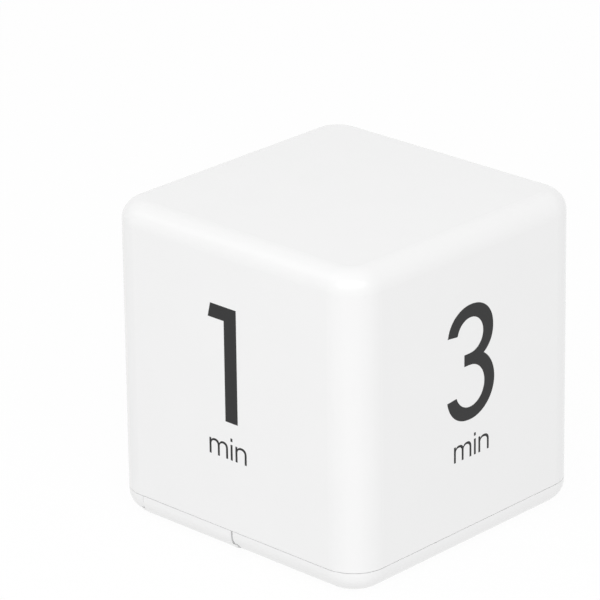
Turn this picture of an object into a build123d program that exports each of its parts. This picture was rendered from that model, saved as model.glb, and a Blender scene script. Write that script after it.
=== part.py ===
"""Cube timer: a hand-sized cube that counts down the minutes printed on the side turned up.

Millimetres. +Z is up and the blank side is the top. The base, with the display, the switch and
the battery door, faces down at Z = 0. -Y is the side marked 1, +X the side marked 3, +Y the side
marked 5 and -X the side marked 10. The origin is under the middle of the cube.
"""

import os
from math import cos, pi, radians, sin

from build123d import *

os.makedirs("parts", exist_ok=True)

# Walls, seam and corners. The upright walls lean in a little towards the top, so that the mould opens.
seam_height = 4.6
seam_gap = 0.1
wall = 2.0
wall_draft_angle = 0.17
upright_edge_radius = 7.1
top_edge_radius = 4.2
base_edge_radius = 4.0
overrun = 1.0

# Lip of the base that stands inside the lower edge of the body
lip_height = 2.0
lip_clearance = 0.15

# Base plate
plate = 2.5
plate_lip = 0.6

# Screw columns of the body and the pillars of the base that meet them
column_inset = 6.4
column_diameter = 5.6
column_rib = 1.6
column_groove_gap = 0.3
pillar_top = 6.2
screw_hole_diameter = 2.3
cover_screw_diameter = 2.2
cover_screw_length = 10.0
cover_head_diameter = 4.2
cover_head_height = 1.5
counterbore_diameter = 4.8
counterbore_depth = 2.8
cross_slot = 0.5
cross_depth = 0.8
cross_length_share = 0.6

# AAA cells
cell_diameter = 10.4
cell_length = 44.5
cell_tip_diameter = 3.8
cell_tip_height = 0.9
cell_pitch = 10.9
cell_edge = 0.5
cell_seat = 0.3

# Battery box, moulded on the base
box_wall = 1.6
box_end_wall = 1.2
box_roof = 1.2
box_side_room = 5.05
box_front_room = 0.55
box_column_gap = 0.25
cell_headroom = 0.3
spring_space = 3.3
contact_thickness = 0.4
contact_pip = 0.5
contact_width = 8.6

# Battery door, which slides out under the side marked 1
door_overlap = 0.65
door_side_overlap = 0.6
door_thickness = 1.75
door_edge_radius = 3.5
door_wall = 1.9
door_gap_left = 0.1
door_gap_right = 0.4
door_gap = 0.15
door_rib_height = 0.6
door_rib = 0.8
rail_reach = 0.85
rail_thickness = 0.7
rail_back_setback = 1.6
grip_length = 13.0
grip_width = 7.0
grip_depth = 0.6
grip_setback = 5.6
grip_ridge = 0.6
grip_ridge_height = 0.45
grip_ridge_pitch = 1.4
grip_ridge_count = 4

# Contacts and their springs
pip_diameter = 3.4
pip_taper_angle = 20.0
tab_width = 2.4
tab_slot_clearance = 0.3
spring_wire = 0.55
spring_half_turns = 4
spring_base_radius = 3.3
spring_tip_radius = 2.0
spring_tip_gap = 0.1
spring_root = 0.1
gap_steps = 16

# Display. The glass lies on the plate behind the view, and the lens in front of it.
glass_width = 19.0
glass_length = 33.0
glass_sheet = 1.1
glass_ledge = 2.2
glass_side_border = 1.0
glass_end_border = 2.0
glass_clearance = 0.15
frame_wall = 0.8
frame_column_gap = 0.6
lens_side_ledge = 2.0
lens_end_ledge = 2.5
lens_thickness = 1.2
lens_setback = 0.25
lens_corner = 1.5
lens_gap = 0.1
view_corner = 0.8
strip_width = 1.6
strip_setback = 2.5

# Circuit board, parts side up, and the posts that carry it
board_underside = 8.0
board_thickness = 1.2
board_box_gap = 0.5
board_wall_gap = 1.05
board_column_gap = 0.35
board_ear_gap = 0.75
board_corner = 0.8
post_diameter = 3.2
post_bore = 1.6
post_frame_gap = 0.1
post_setback = 1.95
board_screw_diameter = 1.5
board_screw_length = 5.0
board_head_diameter = 3.0
board_head_height = 1.1
board_hole_diameter = 1.9

# Buzzer under the board, over the sound holes
buzzer_diameter = 12.0
buzzer_height = 5.2
buzzer_edge = 0.4
buzzer_setback = 1.2
buzzer_hole_diameter = 2.5
buzzer_hole_depth = 1.5
sound_hole_diameter = 1.6
sound_ring_radius = 3.2
sound_hole_count = 6

# Slide switch
switch_width = 3.6
switch_length = 8.0
switch_height = 3.6
switch_sheet = 0.3
switch_skirt = 2.4
switch_travel = 2.0
switch_edge_gap = 2.0
switch_column_gap = 0.35
switch_frame_gap = 1.25
lever_width = 1.5
lever_length = 2.2
lever_clearance = 0.15
lever_end = 0.5
lever_notch = 0.35
lever_notch_count = 3
foot_length = 3.2
foot_width = 2.1
foot_height = 1.1
dish_border = 0.5
dish_width = 5.0
dish_depth = 1.3
dish_corner = 1.2

# Tilt switches, each leaning at 45 degrees over the board
tilt_angle = 45.0
can_diameter = 5.0
can_sheet = 0.3
can_length = 9.4
can_edge = 0.5
ball_diameter = 3.8
ball_clearance = 0.3
plug_depth = 1.6
plug_flange = 0.5
plug_clearance = 0.05
tilt_lead = 0.5
tilt_lead_pitch = 2.2
tilt_lead_straight = 1.0
can_board_gap = 0.3
side_can_spread = 2.5
side_can_setback = 9.8
end_can_spread = 6.2
front_can_setback = 15.7
back_can_setback = 7.7

# Other parts on the board
blob_diameter = 9.0
blob_height = 1.4
blob_can_distance = 9.9
crystal_diameter = 2.0
crystal_length = 6.0
crystal_edge = 0.35
crystal_setback = 2.9
crystal_lead = 0.35
crystal_lead_length = 2.0
crystal_lead_pitch = 0.8
capacitor_diameter = 5.0
capacitor_height = 7.0
capacitor_edge = 0.4
capacitor_plug = 0.6
capacitor_setback = 3.6
chip_part_length = 1.6
chip_part_width = 0.8
chip_part_height = 0.45
chip_part_pitch = 2.4
chip_group_setback = 4.8
chip_columns = 2
chip_rows = 4
transistor_length = 2.9
transistor_width = 1.3
transistor_height = 1.0
transistor_spread = 3.4
transistor_drop = 2.9
transistor_draft_angle = 7.0

# Battery leads
lead_diameter = 1.1
lead_bend = 2.2
lead_rise = 1.6
lead_straight = 0.8
lead_tab_gap = 0.05
red_pad_inset = 8.4
black_pad_inset = 5.2
pad_setback = 3.3

# The cube is as large as the longest of three rows that stand in it from one outside to the other:
# the battery box up to a column, the switch and the display between two columns, and the battery
# box beside the display.
column_radius = column_diameter / 2
post_radius = post_diameter / 2
box_length = cell_length + spring_space + contact_pip + 2 * contact_thickness
box_inner = cell_pitch + cell_diameter + 3 * cell_headroom
frame_width = glass_width + 2 * glass_clearance + 2 * frame_wall
frame_length = glass_length + 2 * glass_clearance + 2 * frame_wall
column_row = column_inset + column_radius
box_row = wall + box_front_room + box_length + 2 * box_end_wall + box_column_gap + column_row
switch_row = switch_column_gap + switch_length + switch_frame_gap
display_row = column_row + switch_row + frame_length + frame_column_gap + column_row
box_width_row = box_side_room + box_inner + 2 * box_wall + board_box_gap
display_width_row = frame_width + 2 * post_frame_gap + 2 * post_diameter + board_wall_gap
width_row = wall + box_width_row + display_width_row + wall
cube_edge = max(box_row, display_row, width_row)
half = cube_edge / 2
column_place = half - column_inset

# Places of the battery box, its cells and its door, from the left and the front wall
box_left = -half + wall + box_side_room + box_wall
box_right = box_left + box_inner
box_front = -half + wall + box_front_room + box_end_wall
box_back = box_front + box_length
door_left = box_left - door_side_overlap
door_right = box_right + door_side_overlap
door_end = box_back + door_overlap
door_width = door_right - door_left
door_middle = (door_right + door_left) / 2
door_recess = door_thickness + door_gap
cell_axis_z = door_thickness + door_rib_height + cell_seat + cell_diameter / 2
cell_a_x = door_middle - cell_pitch / 2
cell_b_x = door_middle + cell_pitch / 2
box_inside_z = cell_axis_z + cell_diameter / 2 + cell_headroom
box_top = box_inside_z + box_roof
contact_bottom = cell_axis_z - contact_width / 2
contact_top = cell_axis_z + contact_width / 2
bed_left = door_left - door_gap_left
bed_right = door_right + door_gap_right
bed_back = door_end + door_gap
groove_reach = rail_reach + door_gap
fourth_column_x = bed_right + groove_reach + column_groove_gap + column_radius

# Places of the board, its posts and the display, from the right wall and the back column
board_top = board_underside + board_thickness
board_left = box_right + box_wall + board_box_gap
board_right = half - wall - board_wall_gap
board_reach = column_place - column_radius - board_column_gap
board_ear_left = fourth_column_x + column_radius + board_column_gap
board_ear_end = -(half - wall - board_ear_gap)
post_left_x = board_left + post_radius
post_right_x = board_right - post_radius
frame_back = column_place - column_radius - frame_column_gap
display_x = post_right_x - post_radius - post_frame_gap - frame_width / 2
display_y = frame_back - frame_length / 2
post_front_y = frame_back - frame_length + post_setback
post_back_y = frame_back - post_setback
view_width = glass_width - 2 * glass_side_border
view_length = glass_length - 2 * glass_end_border
lens_width = view_width + 2 * lens_side_ledge
lens_length = view_length + 2 * lens_end_ledge
strip_length = glass_length - 2 * strip_setback

# Places of what the board carries
switch_x = board_left + switch_edge_gap + switch_width / 2
switch_y = -column_place + column_radius + switch_column_gap + switch_length / 2
dish_length = switch_length + 2 * dish_border
buzzer_x = display_x
buzzer_y = board_ear_end + buzzer_setback + buzzer_diameter / 2
side_can_y = board_reach - side_can_setback
front_can_y = -board_reach + front_can_setback
back_can_y = -board_reach + back_can_setback
blob_y = side_can_y - blob_can_distance
chip_group_x = board_left + chip_group_setback
crystal_x = board_right - crystal_setback
transistor_x = crystal_x - transistor_spread
transistor_y = blob_y - transistor_drop
capacitor_x = board_reach - capacitor_setback
capacitor_y = board_ear_end + capacitor_setback
red_pad_x = board_left + red_pad_inset
black_pad_x = board_left + black_pad_inset
pad_y = board_reach - pad_setback


def upright_box(left, right, front, back, bottom, top):
    """Makes a plain block between two corners."""
    with BuildPart() as block:
        with BuildSketch(Plane.XY.offset(bottom)):
            with Locations(((left + right) / 2, (front + back) / 2)):
                Rectangle(right - left, back - front)
        extrude(amount=top - bottom)
    return block.part


column_places = [
    (column_place, column_place),
    (-column_place, column_place),
    (column_place, -column_place),
    (fourth_column_x, -column_place),
]
post_places = [
    (post_left_x, post_front_y),
    (post_left_x, post_back_y),
    (post_right_x, post_front_y),
    (post_right_x, post_back_y),
]

# Body shell: a bucket with leaning walls, a step inside its rim and four screw columns
shell_bottom = seam_height + seam_gap / 2
shell_height = cube_edge - shell_bottom
lip_inset = wall / 2
rim_inner = cube_edge - 2 * lip_inset
column_end = cube_edge - wall / 2
rib_end = cube_edge - top_edge_radius

with BuildPart() as body_shell:
    with BuildSketch(Plane.XY.offset(shell_bottom)):
        RectangleRounded(cube_edge, cube_edge, upright_edge_radius)
    extrude(amount=shell_height, taper=wall_draft_angle)
    fillet(body_shell.faces().sort_by(Axis.Z)[-1].edges(), radius=top_edge_radius)
    offset(amount=-wall, openings=body_shell.faces().sort_by(Axis.Z)[0])
    with BuildSketch(Plane.XY.offset(shell_bottom - overrun)):
        RectangleRounded(rim_inner, rim_inner, upright_edge_radius - lip_inset)
    extrude(amount=overrun + lip_height + lip_clearance, mode=Mode.SUBTRACT)
    with BuildSketch(Plane.XY.offset(pillar_top)):
        with Locations(*column_places):
            Circle(column_diameter / 2)
    extrude(amount=column_end - pillar_top)
    rib_bottom = shell_bottom + lip_height + 2 * lip_clearance
    with BuildSketch(Plane.XY.offset(rib_bottom)):
        for place_x, place_y in column_places:
            rib_reach = half - wall / 2 - abs(place_y)
            side = 1 if place_y > 0 else -1
            with Locations((place_x, place_y + side * rib_reach / 2)):
                Rectangle(column_rib, rib_reach)
        for place_x, place_y in column_places[:-1]:
            rib_reach = half - wall / 2 - abs(place_x)
            side = 1 if place_x > 0 else -1
            with Locations((place_x + side * rib_reach / 2, place_y)):
                Rectangle(rib_reach, column_rib)
    extrude(amount=rib_end - rib_bottom)
    with BuildSketch(Plane.XY.offset(pillar_top - overrun)):
        with Locations(*column_places):
            Circle(screw_hole_diameter / 2)
    extrude(amount=overrun + cover_screw_length, mode=Mode.SUBTRACT)
body_shell.part.label = "body_shell"
export_step(body_shell.part, "parts/body_shell.step")

# Base cover: a shallow tray that carries everything inside
rim_top = seam_height - seam_gap / 2
lip_outer = cube_edge - 2 * (lip_inset + lip_clearance)
lip_inner = cube_edge - 2 * wall
rail_bottom = door_recess - rail_thickness - door_gap

with BuildPart() as base_cover:
    with BuildSketch():
        RectangleRounded(cube_edge, cube_edge, upright_edge_radius)
    extrude(amount=rim_top)
    fillet(base_cover.faces().sort_by(Axis.Z)[0].edges(), radius=base_edge_radius)
    with BuildSketch(Plane.XY.offset(plate)):
        RectangleRounded(lip_inner, lip_inner, upright_edge_radius - wall)
    extrude(amount=rim_top, mode=Mode.SUBTRACT)
    with BuildSketch(Plane.XY.offset(rim_top - lip_height / 2)):
        RectangleRounded(lip_outer, lip_outer, upright_edge_radius - lip_inset - lip_clearance)
        RectangleRounded(lip_inner, lip_inner, upright_edge_radius - wall, mode=Mode.SUBTRACT)
    extrude(amount=lip_height + lip_height / 2)
    # Battery box
    with BuildSketch(Plane.XY.offset(plate - plate_lip)):
        with Locations(((box_left + box_right) / 2, (box_front + box_back) / 2)):
            Rectangle(box_inner + 2 * box_wall, box_length + 2 * box_end_wall)
    extrude(amount=box_top - plate + plate_lip)
    with BuildSketch(Plane.XY.offset(plate - plate_lip - overrun)):
        with Locations(((box_left + box_right) / 2, (box_front + box_back) / 2)):
            Rectangle(box_inner, box_length)
    extrude(amount=box_inside_z - plate + plate_lip + overrun, mode=Mode.SUBTRACT)
    # Slots in its roof for the two solder tabs
    with BuildSketch(Plane.XY.offset(box_inside_z - overrun)):
        for tab_x in (cell_a_x, cell_b_x):
            with Locations((tab_x, box_back - contact_thickness / 2)):
                Rectangle(tab_width + 2 * tab_slot_clearance, contact_thickness)
    extrude(amount=2 * overrun + box_roof, mode=Mode.SUBTRACT)
    # Bed of the door, open under the side marked 1, with a groove along each side for its rails
    add(
        upright_box(bed_left, bed_right, -half - overrun, bed_back, -overrun, door_recess),
        mode=Mode.SUBTRACT,
    )
    add(
        upright_box(bed_left, bed_right, -half - overrun, box_front - box_end_wall, -overrun, seam_height),
        mode=Mode.SUBTRACT,
    )
    add(
        upright_box(bed_left, bed_right, -half - overrun, box_front, -overrun, plate),
        mode=Mode.SUBTRACT,
    )
    add(
        upright_box(
            bed_left - groove_reach,
            bed_right + groove_reach,
            -half - overrun,
            door_end - rail_back_setback + door_gap,
            rail_bottom - door_gap,
            door_recess,
        ),
        mode=Mode.SUBTRACT,
    )
    # Screw pillars and board posts
    with BuildSketch(Plane.XY.offset(plate / 2)):
        with Locations(*column_places):
            Circle(column_diameter / 2)
    extrude(amount=pillar_top - plate / 2)
    with BuildSketch(Plane.XY.offset(plate / 2)):
        with Locations(*post_places):
            Circle(post_diameter / 2)
    extrude(amount=board_underside - plate / 2)
    with BuildSketch(Plane.XY.offset(-overrun)):
        with Locations(*column_places):
            Circle(counterbore_diameter / 2)
    extrude(amount=overrun + counterbore_depth, mode=Mode.SUBTRACT)
    with BuildSketch(Plane.XY.offset(-overrun)):
        with Locations(*column_places):
            Circle(screw_hole_diameter / 2)
    extrude(amount=2 * overrun + pillar_top, mode=Mode.SUBTRACT)
    with BuildSketch(Plane.XY.offset(board_underside - board_screw_length)):
        with Locations(*post_places):
            Circle(post_bore / 2)
    extrude(amount=board_screw_length + overrun, mode=Mode.SUBTRACT)
    # Window with its ledge for the lens
    with BuildSketch(Plane.XY.offset(-overrun)):
        with Locations((display_x, display_y)):
            RectangleRounded(lens_width + 2 * lens_gap, lens_length + 2 * lens_gap, lens_corner + lens_gap)
    extrude(amount=overrun + lens_setback + lens_thickness, mode=Mode.SUBTRACT)
    with BuildSketch(Plane.XY.offset(-overrun)):
        with Locations((display_x, display_y)):
            RectangleRounded(view_width, view_length, view_corner)
    extrude(amount=2 * overrun + plate, mode=Mode.SUBTRACT)
    # Dish and slot for the switch
    with BuildSketch(Plane.XY.offset(-overrun)):
        with Locations((switch_x, switch_y)):
            RectangleRounded(dish_width, dish_length, dish_corner)
    extrude(amount=overrun + dish_depth, mode=Mode.SUBTRACT)
    with BuildSketch(Plane.XY.offset(-overrun)):
        with Locations((switch_x, switch_y)):
            Rectangle(lever_width + 2 * lever_clearance, lever_length + switch_travel + 2 * lever_clearance)
    extrude(amount=2 * overrun + plate, mode=Mode.SUBTRACT)
    # Sound holes
    with BuildSketch(Plane.XY.offset(-overrun)):
        with Locations((buzzer_x, buzzer_y)):
            Circle(sound_hole_diameter / 2)
            with PolarLocations(sound_ring_radius, sound_hole_count):
                Circle(sound_hole_diameter / 2)
    extrude(amount=2 * overrun + plate, mode=Mode.SUBTRACT)
base_cover.part.label = "base_cover"
export_step(base_cover.part, "parts/base_cover.step")

# Battery door: an L seen from the side, with a rail along each side and a rib under each cell
door_front = -half
grip_middle = door_front + grip_setback + grip_width / 2

with BuildPart() as battery_door:
    with BuildSketch(Plane.YZ.offset(door_left)):
        with BuildLine():
            Polyline(
                (door_front, 0),
                (door_end, 0),
                (door_end, door_thickness),
                (door_front + door_wall, door_thickness),
                (door_front + door_wall, rim_top),
                (door_front, rim_top),
                close=True,
            )
        make_face()
    extrude(amount=door_width)
    add(
        upright_box(
            door_left - rail_reach,
            door_right + rail_reach,
            door_front,
            door_end - rail_back_setback,
            rail_bottom,
            door_thickness,
        )
    )
    with BuildSketch(Plane.YZ.offset(door_left - rail_reach)):
        with BuildLine():
            Polyline((door_front, door_edge_radius), (door_front, 0), (door_front + door_edge_radius, 0))
            TangentArc(
                (door_front + door_edge_radius, 0),
                (door_front, door_edge_radius),
                tangent=(-1, 0),
            )
        make_face()
    extrude(amount=door_width + 2 * rail_reach, mode=Mode.SUBTRACT)
    with BuildSketch(Plane.XY.offset(door_thickness)):
        with Locations((cell_a_x, (box_front + box_back) / 2), (cell_b_x, (box_front + box_back) / 2)):
            Rectangle(door_rib, box_length - 2 * door_overlap)
    extrude(amount=door_rib_height)
    with BuildSketch():
        with Locations((door_middle, grip_middle)):
            SlotOverall(grip_length, grip_width)
    extrude(amount=grip_depth, mode=Mode.SUBTRACT)
    with BuildSketch(Plane.XY.offset(grip_depth)):
        with Locations((door_middle, grip_middle)):
            with GridLocations(0, grip_ridge_pitch, 1, grip_ridge_count):
                Rectangle(grip_length - grip_width, grip_ridge)
    extrude(amount=-grip_ridge_height)
battery_door.part.label = "battery_door"
export_step(battery_door.part, "parts/battery_door.step")


def make_cell(place_x, negative_end, facing):
    """Makes one cell lying along Y, from its flat end towards its tip."""
    with BuildPart() as cell:
        with BuildSketch(Plane((place_x, negative_end, cell_axis_z), z_dir=(0, facing, 0))):
            Circle(cell_diameter / 2)
        extrude(amount=cell_length - cell_tip_height)
        chamfer(cell.edges().filter_by(GeomType.CIRCLE), length=cell_edge)
        tip_base = negative_end + facing * (cell_length - cell_tip_height)
        with BuildSketch(Plane((place_x, tip_base, cell_axis_z), z_dir=(0, facing, 0))):
            Circle(cell_tip_diameter / 2)
        extrude(amount=cell_tip_height)
    return cell.part


cell_left = make_cell(cell_a_x, box_front + contact_thickness + spring_space, 1)
cell_left.label = "cell_left"
export_step(cell_left, "parts/cell_left.step")
cell_right = make_cell(cell_b_x, box_back - contact_thickness - spring_space, -1)
cell_right.label = "cell_right"
export_step(cell_right, "parts/cell_right.step")


def make_spring(place_x, plate_face, facing):
    """Makes a conical contact spring that stands on its plate and narrows towards the cell."""
    base_height = spring_wire / 2 - spring_root
    rise = spring_space - spring_tip_gap - spring_wire / 2 - base_height

    def coil_point(share):
        """Returns the point at a share of the way along the spring."""
        angle = pi * spring_half_turns * share
        radius = spring_base_radius + (spring_tip_radius - spring_base_radius) * share
        along = base_height + rise * share
        return Vector(
            place_x + radius * cos(angle), plate_face + facing * along, cell_axis_z + radius * sin(angle)
        )

    with BuildPart() as spring:
        with BuildLine() as coil:
            heading = Vector(0, facing * rise, pi * spring_half_turns * spring_base_radius)
            arcs = []
            for turn in range(spring_half_turns):
                start = coil_point(turn / spring_half_turns)
                end = coil_point((turn + 1) / spring_half_turns)
                arcs.append(TangentArc(start, end, tangent=heading))
                heading = arcs[-1] % 1
        with BuildSketch(Plane(coil.line @ 0, z_dir=coil.line % 0)):
            Circle(spring_wire / 2)
        sweep()
    points = [arc @ (step / gap_steps) for arc in arcs for step in range(gap_steps)]
    distances = [
        (points[later] - points[earlier]).length
        for earlier in range(len(points))
        for later in range(earlier + gap_steps, len(points))
    ]
    print("spring, least gap to itself:", round(min(distances) - spring_wire, 2), "mm")
    return spring.part


def make_contact(places, plate_face, facing, tab_top, spring_x, pip_x):
    """Makes a contact plate for one or two cells, with its tab, spring and pip where it has them."""
    left = min(places) - contact_width / 2
    right = max(places) + contact_width / 2
    far_face = plate_face - facing * contact_thickness
    with BuildPart() as contact:
        near, far = sorted((plate_face, far_face))
        add(upright_box(left, right, near, far, contact_bottom, contact_top))
        if tab_top:
            tab_left = places[0] - tab_width / 2
            add(upright_box(tab_left, tab_left + tab_width, near, far, cell_axis_z, tab_top))
        if pip_x:
            with BuildSketch(Plane((pip_x, plate_face, cell_axis_z), z_dir=(0, facing, 0))):
                Circle(pip_diameter / 2)
            extrude(amount=contact_pip, taper=pip_taper_angle)
        if spring_x:
            add(make_spring(spring_x, plate_face, facing))
    return contact.part


# Contacts: one plate bridges both cells at the front, and two with solder tabs stand at the back
back_face = box_back - contact_thickness
front_face = box_front + contact_thickness
black_lead_z = box_top + lead_diameter / 2
red_lead_z = black_lead_z + lead_rise
red_tab_top = red_lead_z + lead_diameter / 2
black_tab_top = black_lead_z + lead_diameter / 2

bridge_contact = make_contact((cell_a_x, cell_b_x), front_face, 1, None, cell_a_x, cell_b_x)
bridge_contact.label = "bridge_contact"
export_step(bridge_contact, "parts/bridge_contact.step")
positive_contact = make_contact((cell_a_x,), back_face, -1, red_tab_top, None, cell_a_x)
positive_contact.label = "positive_contact"
export_step(positive_contact, "parts/positive_contact.step")
negative_contact = make_contact((cell_b_x,), back_face, -1, black_tab_top, cell_b_x, None)
negative_contact.label = "negative_contact"
export_step(negative_contact, "parts/negative_contact.step")

# Display: lens, glass, frame and the two strips that join the glass to the board
with BuildPart() as display_lens:
    with BuildSketch(Plane.XY.offset(lens_setback)):
        with Locations((display_x, display_y)):
            RectangleRounded(lens_width, lens_length, lens_corner)
    extrude(amount=lens_thickness)
display_lens.part.label = "display_lens"
export_step(display_lens.part, "parts/display_lens.step")

with BuildPart() as display_glass:
    with BuildSketch(Plane.XY.offset(plate)):
        with Locations((display_x, display_y)):
            Rectangle(glass_width, glass_length)
    extrude(amount=glass_sheet)
    with BuildSketch(Plane.XY.offset(plate + glass_sheet)):
        with Locations((display_x, display_y)):
            Rectangle(glass_width - 2 * glass_ledge, glass_length)
    extrude(amount=glass_sheet)
display_glass.part.label = "display_glass"
export_step(display_glass.part, "parts/display_glass.step")

with BuildPart() as display_frame:
    with BuildSketch(Plane.XY.offset(plate)):
        with Locations((display_x, display_y)):
            Rectangle(frame_width, frame_length)
            Rectangle(frame_width - 2 * frame_wall, frame_length - 2 * frame_wall, mode=Mode.SUBTRACT)
    extrude(amount=board_underside - plate)
display_frame.part.label = "display_frame"
export_step(display_frame.part, "parts/display_frame.step")

with BuildPart() as contact_strips:
    with BuildSketch(Plane.XY.offset(plate + glass_sheet)):
        with Locations((display_x, display_y)):
            with GridLocations(glass_width - glass_ledge, 0, 2, 1):
                Rectangle(strip_width, strip_length)
    extrude(amount=board_underside - plate - glass_sheet)
contact_strips.part.label = "contact_strips"
export_step(contact_strips.part, "parts/contact_strips.step")

# Circuit board, with an ear that reaches between two screw columns and carries the buzzer
with BuildPart() as circuit_board:
    with BuildSketch(Plane.XY.offset(board_underside)) as board_outline:
        with Locations(((board_left + board_right) / 2, 0)):
            Rectangle(board_right - board_left, 2 * board_reach)
        with Locations(((board_ear_left + board_reach) / 2, board_ear_end / 2)):
            Rectangle(board_reach - board_ear_left, -board_ear_end)
        fillet(board_outline.vertices(), radius=board_corner)
        with Locations(*post_places):
            Circle(board_hole_diameter / 2, mode=Mode.SUBTRACT)
    extrude(amount=board_thickness)
circuit_board.part.label = "circuit_board"
export_step(circuit_board.part, "parts/circuit_board.step")

with BuildPart() as buzzer:
    with BuildSketch(Plane.XY.offset(board_underside - buzzer_height)):
        with Locations((buzzer_x, buzzer_y)):
            Circle(buzzer_diameter / 2)
    extrude(amount=buzzer_height)
    chamfer(buzzer.faces().sort_by(Axis.Z)[0].edges(), length=buzzer_edge)
    with BuildSketch(Plane.XY.offset(board_underside - buzzer_height)):
        with Locations((buzzer_x, buzzer_y)):
            Circle(buzzer_hole_diameter / 2)
    extrude(amount=buzzer_hole_depth, mode=Mode.SUBTRACT)
buzzer.part.label = "buzzer"
export_step(buzzer.part, "parts/buzzer.step")

# Slide switch: a moulded body, a bent steel cover round it and the lever that comes through both
switch_face = board_underside - switch_height
slot_width = lever_width + 2 * lever_clearance
slot_length = lever_length + switch_travel + 2 * lever_clearance
cavity_width = foot_width + 2 * lever_clearance
cavity_length = foot_length + switch_travel + 2 * lever_clearance
cavity_depth = foot_height + 2 * lever_clearance

with BuildPart() as switch_body:
    with BuildSketch(Plane.XY.offset(switch_face + switch_sheet)):
        with Locations((switch_x, switch_y)):
            Rectangle(switch_width - 2 * switch_sheet, switch_length)
    extrude(amount=switch_height - switch_sheet)
    with BuildSketch(Plane.XY.offset(switch_face + switch_sheet)):
        with Locations((switch_x, switch_y)):
            Rectangle(cavity_width, cavity_length)
    extrude(amount=cavity_depth, mode=Mode.SUBTRACT)
switch_body.part.label = "switch_body"
export_step(switch_body.part, "parts/switch_body.step")

with BuildPart() as switch_cover:
    with BuildSketch(Plane.XY.offset(switch_face)):
        with Locations((switch_x, switch_y)):
            Rectangle(switch_width, switch_length)
            Rectangle(slot_width, slot_length, mode=Mode.SUBTRACT)
    extrude(amount=switch_sheet)
    with BuildSketch(Plane.XY.offset(switch_face)):
        with Locations((switch_x, switch_y)):
            with GridLocations(switch_width - switch_sheet, 0, 2, 1):
                Rectangle(switch_sheet, switch_length)
    extrude(amount=switch_skirt)
switch_cover.part.label = "switch_cover"
export_step(switch_cover.part, "parts/switch_cover.step")

lever_y = switch_y - switch_travel / 2
foot_bottom = switch_face + switch_sheet + lever_clearance
with BuildPart() as switch_lever:
    with BuildSketch(Plane.XY.offset(lever_end)):
        with Locations((switch_x, lever_y)):
            Rectangle(lever_width, lever_length)
    extrude(amount=foot_bottom - lever_end)
    with BuildSketch(Plane.XY.offset(foot_bottom)):
        with Locations((switch_x, lever_y)):
            Rectangle(foot_width, foot_length)
    extrude(amount=foot_height)
    with BuildSketch(Plane.XY.offset(lever_end)):
        with Locations((switch_x, lever_y)):
            with GridLocations(0, 2 * lever_notch, 1, lever_notch_count):
                Rectangle(lever_width, lever_notch)
    extrude(amount=lever_notch, mode=Mode.SUBTRACT)
switch_lever.part.label = "switch_lever"
export_step(switch_lever.part, "parts/switch_lever.step")

# Tilt switches: a ball in a leaning can closes two contacts, or opens them as the cube is turned
lean_sine = sin(radians(tilt_angle))
lean_cosine = cos(radians(tilt_angle))
foot_z = board_top + can_board_gap + can_diameter / 2 * lean_sine
tilt_seats = {
    "left": ((display_x - side_can_spread, side_can_y, foot_z), (-1, 0)),
    "right": ((display_x + side_can_spread, side_can_y, foot_z), (1, 0)),
    "front": ((display_x - end_can_spread, front_can_y, foot_z), (0, -1)),
    "back": ((display_x + end_can_spread, back_can_y, foot_z), (0, 1)),
}


def lean_plane(foot, lean, distance):
    """Returns the plane across a leaning can, at a distance along it from its lower end."""
    axis = Vector(lean[0] * lean_sine, lean[1] * lean_sine, lean_cosine)
    return Plane(Vector(*foot) + axis * distance, x_dir=(-lean[1], lean[0], 0), z_dir=axis)


def make_can(foot, lean):
    """Makes the drawn metal can, open at its lower end."""
    with BuildPart() as can:
        with BuildSketch(lean_plane(foot, lean, plug_flange)):
            Circle(can_diameter / 2)
        extrude(amount=can_length - plug_flange)
        chamfer(can.edges().filter_by(GeomType.CIRCLE).sort_by(Axis.Z)[-1], length=can_edge)
        with BuildSketch(lean_plane(foot, lean, plug_flange - overrun)):
            Circle(can_diameter / 2 - can_sheet)
        extrude(amount=can_length - plug_flange - can_sheet + overrun, mode=Mode.SUBTRACT)
    return can.part


def make_ball(foot, lean):
    """Makes the ball where it lies at the lower end of its can."""
    rest = plug_flange + plug_depth + ball_clearance + ball_diameter / 2
    with BuildPart(lean_plane(foot, lean, rest)) as ball:
        Sphere(ball_diameter / 2)
    return ball.part


def make_plug(foot, lean):
    """Makes the plug that closes a can, with its two leads bent down to the board."""
    seat = lean_plane(foot, lean, 0)
    with BuildPart() as plug:
        with BuildSketch(seat):
            Circle(can_diameter / 2)
        extrude(amount=plug_flange)
        with BuildSketch(lean_plane(foot, lean, plug_flange)):
            Circle(can_diameter / 2 - can_sheet - plug_clearance)
        extrude(amount=plug_depth)
        for side in (-1, 1):
            start = seat.from_local_coords((side * tilt_lead_pitch / 2, 0, plug_flange / 2))
            bend = seat.from_local_coords((side * tilt_lead_pitch / 2, 0, -tilt_lead_straight))
            with BuildLine() as lead:
                Polyline(start, bend, (bend.X, bend.Y, board_top))
            with BuildSketch(Plane(lead.line @ 0, z_dir=lead.line % 0)):
                Circle(tilt_lead / 2)
            sweep(transition=Transition.RIGHT)
    return plug.part


for side_name, (foot, lean) in tilt_seats.items():
    tilt_can = make_can(foot, lean)
    tilt_can.label = f"tilt_can_{side_name}"
    export_step(tilt_can, f"parts/tilt_can_{side_name}.step")
    tilt_ball = make_ball(foot, lean)
    tilt_ball.label = f"tilt_ball_{side_name}"
    export_step(tilt_ball, f"parts/tilt_ball_{side_name}.step")

with BuildPart() as tilt_plugs:
    for foot, lean in tilt_seats.values():
        add(make_plug(foot, lean))
tilt_plugs.part.label = "tilt_plugs"
export_step(tilt_plugs.part, "parts/tilt_plugs.step")

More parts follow.
